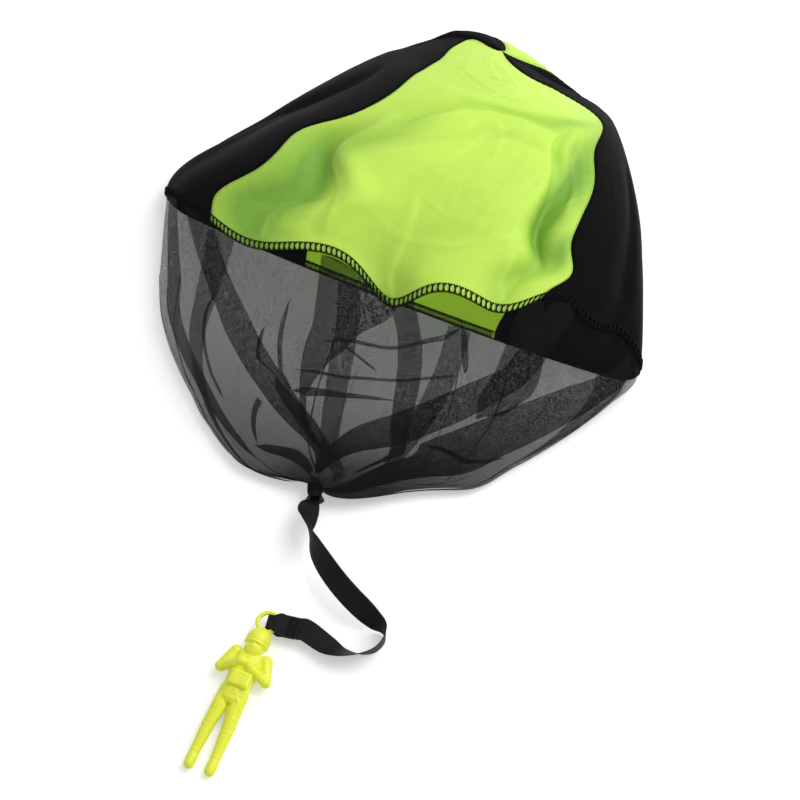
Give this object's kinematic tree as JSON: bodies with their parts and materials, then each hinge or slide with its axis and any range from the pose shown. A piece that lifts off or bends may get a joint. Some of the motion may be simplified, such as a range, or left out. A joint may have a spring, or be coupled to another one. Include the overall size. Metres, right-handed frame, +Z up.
{
  "type": "toy parachute",
  "caption": "Hand-thrown toy parachute lying where it landed: panelled cloth canopy, net skirt gathered to a neck, flat ribbon and moulded figure.",
  "frame": {"origin": "the point of the floor under the middle of the lying canopy, on the flat underside of its bottom gore", "axes": "+Z up; -Y from the canopy through the ribbon to the figure; +X to the right as seen from the figure's side"},
  "size_m": [0.2921, 0.5006, 0.0786],
  "materials": {
    "lime_nylon": "thin calendered plain weave, slight sheen",
    "black_nylon": "thin calendered plain weave, slight sheen",
    "black_net": "fine see-through mesh",
    "overlock_thread": "overlocked edge, matt thread",
    "binding_thread": "matt thread",
    "black_ribbon": "fine ribbed ribbon, soft sheen",
    "yellow_plastic": "moulded soft plastic, satin gloss"
  },
  "bodies": {
    "canopy": {"canopy_gore_top": "lime_nylon", "canopy_gore_right": "black_nylon", "canopy_gore_bottom": "lime_nylon", "canopy_gore_left": "black_nylon", "hem_top": "overlock_thread", "hem_right": "overlock_thread", "hem_bottom": "overlock_thread", "hem_left": "overlock_thread", "skirt_net_top": "black_net", "skirt_net_right": "black_net", "skirt_net_bottom": "black_net", "skirt_net_left": "black_net", "gather_binding": "binding_thread", "ribbon_root": "black_ribbon"},
    "ribbon": {"ribbon": "black_ribbon"},
    "ribbon_end": {"ribbon_eye": "black_ribbon", "eye_stitching": "binding_thread"},
    "figure": {"figure": "yellow_plastic"}
  },
  "joints": [
    {"name": "ribbon_swing", "type": "hinge", "parent": "canopy", "child": "ribbon", "pos_m": [-0.0485, -0.18525, 0.0097], "axis": [-1, 0, 0], "range_deg": [0, 60]},
    {"name": "ribbon_bend", "type": "hinge", "parent": "ribbon", "child": "ribbon_end", "pos_m": [-0.05556, -0.26207, 0.00675], "axis": [0.2351, 0.972, 0], "range_deg": [0, 75]},
    {"name": "figure_turn", "type": "hinge", "parent": "ribbon_end", "child": "figure", "pos_m": [-0.0732, -0.2578, 0.006], "axis": [0, 0, 1], "range_deg": [-120, 5]}
  ]
}
